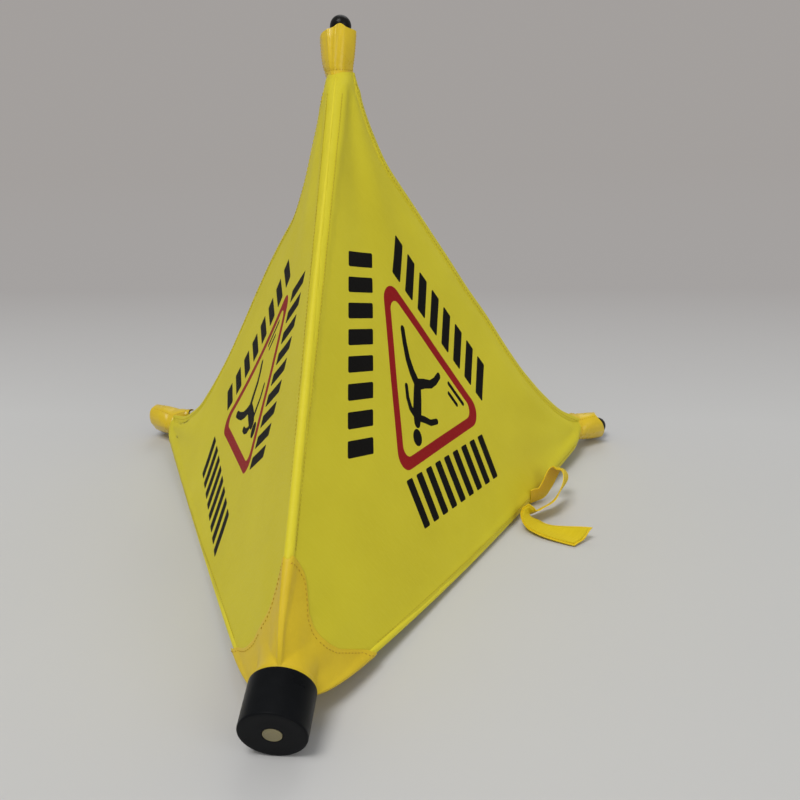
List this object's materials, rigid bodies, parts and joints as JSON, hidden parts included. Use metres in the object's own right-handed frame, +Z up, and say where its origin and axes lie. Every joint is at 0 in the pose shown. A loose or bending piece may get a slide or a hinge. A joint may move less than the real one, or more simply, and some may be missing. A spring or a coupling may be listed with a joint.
{
  "type": "pop-up floor cone",
  "caption": "Pop-up fabric floor cone: folding spring-open legs on a post with a black base cap, under a yellow three-sided printed cover with vinyl leg sleeves and a tie strap.",
  "frame": {"origin": "bottom centre of the bounding box, on the floor under the cone as it lies", "axes": "+Z up, cap towards -Y, the raised leg up, the left and right legs towards -X and +X"},
  "size_m": [0.6094, 0.6234, 0.5181],
  "materials": {
    "cap_plastic": "satin black moulded plastic",
    "plug_plastic": "cream moulded plastic",
    "hub_plastic": "black glass-filled nylon",
    "tip_rubber": "glossy black",
    "post_steel": "zinc-plated tube",
    "fastener_steel": "plated",
    "spring_steel": "spring wire",
    "leg_rod": "fibreglass rod",
    "cover_fabric": "coated lemon-yellow plain weave, printed",
    "seam_tape": "folded yellow fabric",
    "vinyl": "glossy orange-yellow vinyl",
    "strap_web": "yellow ribbon",
    "hook_tape": "hook tape"
  },
  "bodies": {
    "frame": {"base_cap": "cap_plastic", "cap_plug": "plug_plastic", "cap_screw": "fastener_steel", "cover_clamp_ring": "hub_plastic", "centre_post": "post_steel", "hub_body": "hub_plastic", "hub_cover": "hub_plastic", "hub_screw": "fastener_steel", "hinge_pin_top": "fastener_steel", "hinge_pin_left": "fastener_steel", "hinge_pin_right": "fastener_steel", "torsion_spring_top": "spring_steel", "torsion_spring_left": "spring_steel", "torsion_spring_right": "spring_steel", "cover_panel_left": "cover_fabric", "cover_panel_floor": "cover_fabric", "cover_panel_right": "cover_fabric", "ridge_seam_top": "seam_tape", "ridge_seam_left": "seam_tape", "ridge_seam_right": "seam_tape", "hem_left": "seam_tape", "hem_floor": "seam_tape", "hem_right": "seam_tape", "cap_patch": "vinyl", "tie_strap": "strap_web", "strap_hook_tape": "hook_tape"},
    "leg_top": {"knuckle_top": "hub_plastic", "leg_rod_top": "leg_rod", "leg_rivet_top": "fastener_steel", "ball_tip_top": "tip_rubber", "tip_sleeve_top": "vinyl"},
    "leg_left": {"knuckle_left": "hub_plastic", "leg_rod_left": "leg_rod", "leg_rivet_left": "fastener_steel", "ball_tip_left": "tip_rubber", "tip_sleeve_left": "vinyl"},
    "leg_right": {"knuckle_right": "hub_plastic", "leg_rod_right": "leg_rod", "leg_rivet_right": "fastener_steel", "ball_tip_right": "tip_rubber", "tip_sleeve_right": "vinyl"}
  },
  "joints": [
    {"name": "leg_top_fold", "type": "hinge", "parent": "frame", "child": "leg_top", "pos_m": [0, 0.14164, 0.16682], "axis": [1, 0, 0], "range_deg": [0, 109.47], "deforming": ["torsion_spring_top", "tip_sleeve_top", "cover_panel_left", "cover_panel_floor", "cover_panel_right", "ridge_seam_top", "ridge_seam_left", "ridge_seam_right", "hem_left", "hem_floor", "hem_right", "cap_patch", "tie_strap", "strap_hook_tape"]},
    {"name": "leg_left_fold", "type": "hinge", "parent": "frame", "child": "leg_left", "pos_m": [-0.01516, 0.14861, 0.14151], "axis": [-0.5, -0.2301, 0.8349], "range_deg": [0, 109.47], "deforming": ["torsion_spring_left", "tip_sleeve_left"]},
    {"name": "leg_right_fold", "type": "hinge", "parent": "frame", "child": "leg_right", "pos_m": [0.01516, 0.14861, 0.14151], "axis": [-0.5, 0.2301, -0.8349], "range_deg": [0, 109.47], "deforming": ["torsion_spring_right", "tip_sleeve_right"]}
  ],
  "couplings": [
    {"joint": "leg_left_fold", "follows": "leg_top_fold", "ratio": 1},
    {"joint": "leg_right_fold", "follows": "leg_top_fold", "ratio": 1}
  ]
}
